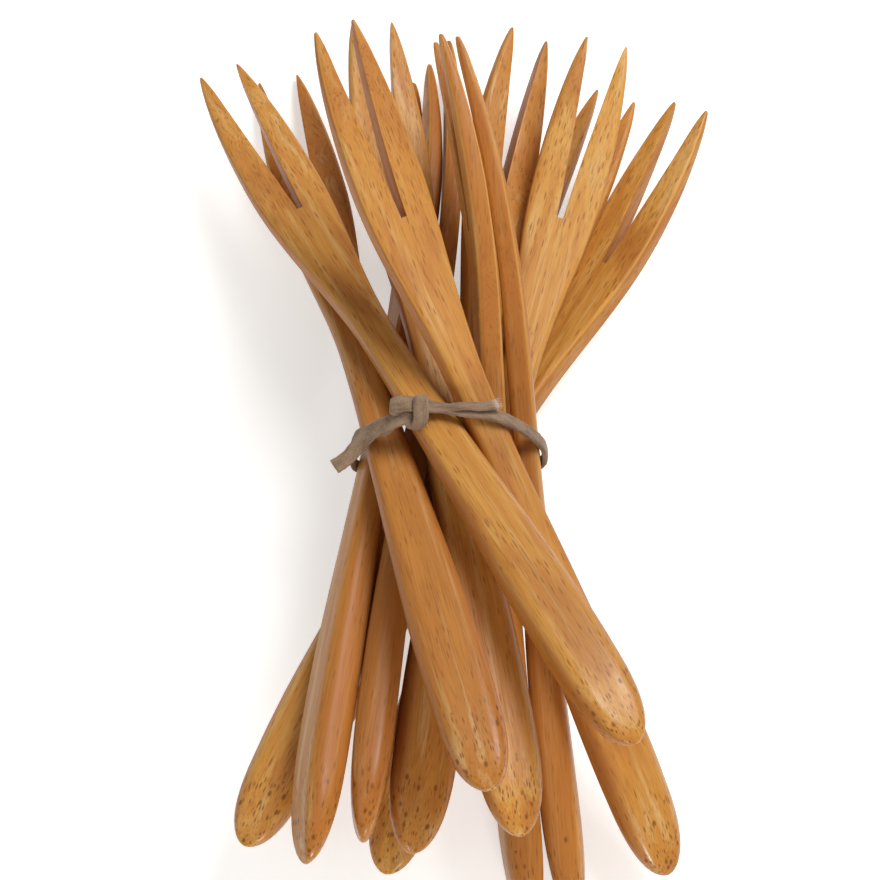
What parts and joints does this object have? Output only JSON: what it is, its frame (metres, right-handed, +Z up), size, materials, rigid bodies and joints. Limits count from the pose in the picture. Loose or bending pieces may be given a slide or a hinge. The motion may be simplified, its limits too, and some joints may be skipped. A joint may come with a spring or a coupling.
{
  "type": "bundle of bamboo forks",
  "caption": "Two-tined bamboo forks gathered into a crossing bundle and tied at the waist with a flat suede lace.",
  "frame": {"origin": "on the table, under the middle of the bundle's box without the lace", "axes": "+Z up, +Y along the bundle from the handles to the fork heads, +X to the right seen from above with the heads away"},
  "size_m": [0.1306, 0.2285, 0.0806],
  "materials": {
    "bamboo": "sanded and oiled bamboo, satin",
    "suede": "napped taupe suede, matt"
  },
  "bodies": {
    "root": {"fork_01": "bamboo", "fork_02": "bamboo", "fork_03": "bamboo", "fork_04": "bamboo", "fork_05": "bamboo", "fork_06": "bamboo", "fork_07": "bamboo", "fork_08": "bamboo", "fork_09": "bamboo", "fork_10": "bamboo", "fork_11": "bamboo", "fork_12": "bamboo", "tie_lace": "suede"}
  },
  "joints": []
}
